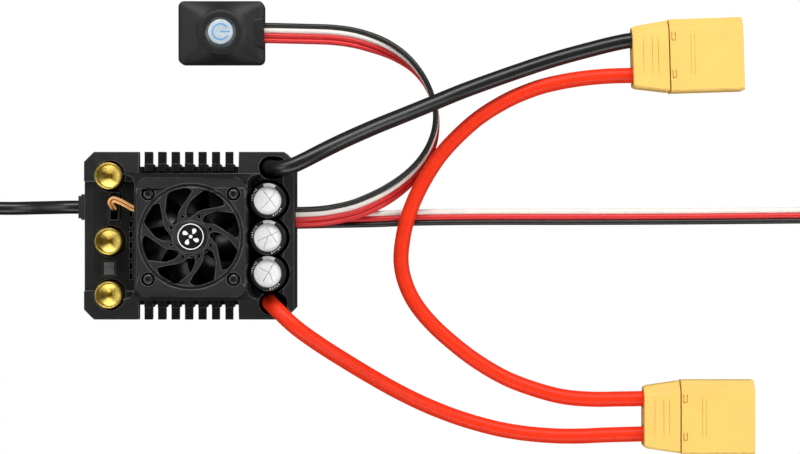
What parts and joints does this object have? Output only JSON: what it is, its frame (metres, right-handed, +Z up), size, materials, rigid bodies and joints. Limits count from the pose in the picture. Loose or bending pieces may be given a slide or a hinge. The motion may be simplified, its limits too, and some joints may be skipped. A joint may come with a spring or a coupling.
{
  "type": "electronic speed controller",
  "caption": "Boxed brushless motor speed controller with a guarded cooling fan, side fins, bullet sockets, capacitors, a push-button switch and series battery leads.",
  "frame": {"origin": "centre of the case's base, which is its resting face", "axes": "+Z up through the fan, +X along the case's long side towards the battery leads, +Y towards the switch"},
  "size_m": [0.3344, 0.1329, 0.037],
  "materials": {
    "case_plastic": "fine-textured black moulded plastic",
    "anodised_aluminium": "black anodised",
    "circuit_board": "green solder mask",
    "chip_package": "black moulded",
    "silicone_pad": "soft grey thermal pad",
    "blade_plastic": "smooth black",
    "badge_film": "black film",
    "copper_winding": "enamelled copper winding",
    "bronze": "sintered bronze",
    "steel": "blackened steel",
    "ferrite": "bonded ferrite",
    "orange_wire": "orange wire insulation",
    "gold_plate": "gold plated",
    "capacitor_aluminium": "plain rolled aluminium",
    "sleeve_film": "shrunk black film",
    "smoked_window": "smoked translucent plastic",
    "soft_rubber": "moulded black rubber",
    "black_silicone": "smooth black silicone",
    "red_silicone": "smooth red silicone",
    "lead_insulation": "coloured flat lead",
    "yellow_nylon": "yellow moulded nylon",
    "button_resin": "milky translucent"
  },
  "bodies": {
    "case": {"lower_tray": "case_plastic", "upper_cover": "case_plastic", "heat_sink": "anodised_aluminium", "power_board": "circuit_board", "control_board": "circuit_board", "mosfet_bank_1": "chip_package", "mosfet_bank_2": "chip_package", "mosfet_bank_3": "chip_package", "thermal_pad": "silicone_pad", "fan_frame": "blade_plastic", "fan_guard": "case_plastic", "fan_hub_badge": "badge_film", "fan_stator": "copper_winding", "fan_bearing": "bronze", "fan_screw_1": "steel", "fan_screw_2": "steel", "fan_screw_3": "steel", "fan_screw_4": "steel", "fan_socket": "chip_package", "fan_plug": "chip_package", "fan_wire_1": "orange_wire", "fan_wire_2": "orange_wire", "bullet_socket_a": "gold_plate", "bullet_socket_b": "gold_plate", "bullet_socket_c": "gold_plate", "capacitor_can_1": "capacitor_aluminium", "capacitor_can_2": "capacitor_aluminium", "capacitor_can_3": "capacitor_aluminium", "capacitor_sleeve_1": "sleeve_film", "capacitor_sleeve_2": "sleeve_film", "capacitor_sleeve_3": "sleeve_film", "led_window": "smoked_window", "sensor_grommet": "soft_rubber", "lead_gland": "soft_rubber", "sensor_cable": "black_silicone", "sensor_coil": "black_silicone", "sensor_plug": "chip_package", "receiver_lead": "lead_insulation", "receiver_plug": "chip_package", "battery_cable_negative": "black_silicone", "battery_cable_positive": "red_silicone", "series_cable": "red_silicone", "switch_lead": "lead_insulation", "connector_upper_housing": "yellow_nylon", "connector_upper_cap": "yellow_nylon", "connector_upper_pin_1": "gold_plate", "connector_upper_pin_2": "gold_plate", "connector_lower_housing": "yellow_nylon", "connector_lower_cap": "yellow_nylon", "connector_lower_pin_1": "gold_plate", "connector_lower_pin_2": "gold_plate", "switch_case": "case_plastic", "switch_base": "case_plastic", "switch_board": "circuit_board", "tact_switch": "chip_package"},
    "fan_rotor": {"fan_rotor": "blade_plastic", "fan_shaft": "steel", "fan_magnet_ring": "ferrite"},
    "power_button": {"switch_button": "button_resin"}
  },
  "joints": [
    {"name": "fan_spin", "type": "hinge", "parent": "case", "child": "fan_rotor", "pos_m": [0.0018, -0.0002, 0.031], "axis": [0, 0, 1], "continuous": true},
    {"name": "power_button_press", "type": "slide", "parent": "case", "child": "power_button", "axis": [0, 0, -1], "range_m": [0, 0.0006], "stiffness_N_per_m": 400}
  ]
}
